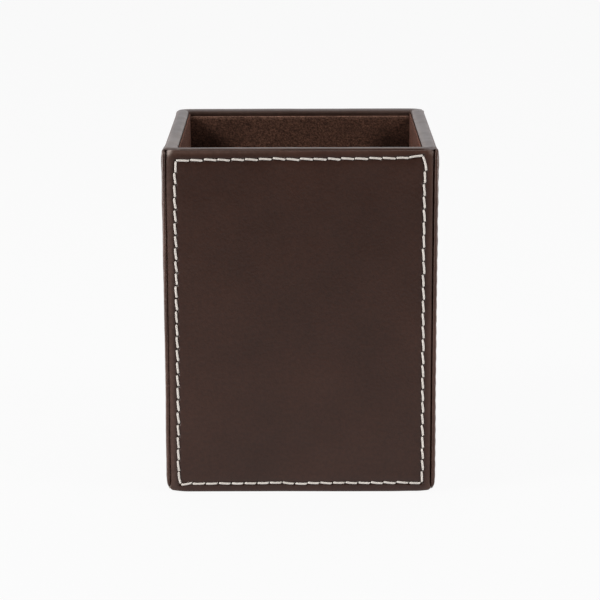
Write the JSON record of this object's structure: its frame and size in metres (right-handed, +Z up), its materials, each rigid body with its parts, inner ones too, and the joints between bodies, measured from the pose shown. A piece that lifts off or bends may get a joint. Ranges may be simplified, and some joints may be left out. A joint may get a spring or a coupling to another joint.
{
  "type": "pen stand",
  "caption": "Open square desk cup for pens, board walls faced with stitched dark leather panels, leather rim and velour lining.",
  "frame": {"origin": "on the surface the stand rests on, in the middle of its footprint", "axes": "+Z up, front panel faces -Y, +X to the right seen from the front"},
  "size_m": [0.0806, 0.0806, 0.104],
  "materials": {
    "panel_leather": "semi-matte, fine grain",
    "cover_leather": "smooth, semi-matte",
    "thread": "waxed twisted thread",
    "grey_board": "raw",
    "card": "raw",
    "lining_velour": "short nap",
    "base_velour": "short nap"
  },
  "bodies": {
    "root": {"rim_cover": "cover_leather", "front_leather": "panel_leather", "right_leather": "panel_leather", "back_leather": "panel_leather", "left_leather": "panel_leather", "front_stitching": "thread", "right_stitching": "thread", "back_stitching": "thread", "left_stitching": "thread", "front_card": "card", "right_card": "card", "back_card": "card", "left_card": "card", "front_board": "grey_board", "right_board": "grey_board", "back_board": "grey_board", "left_board": "grey_board", "base_board": "grey_board", "front_lining": "lining_velour", "right_lining": "lining_velour", "back_lining": "lining_velour", "left_lining": "lining_velour", "floor_lining": "lining_velour", "base_pad": "base_velour"}
  },
  "joints": []
}
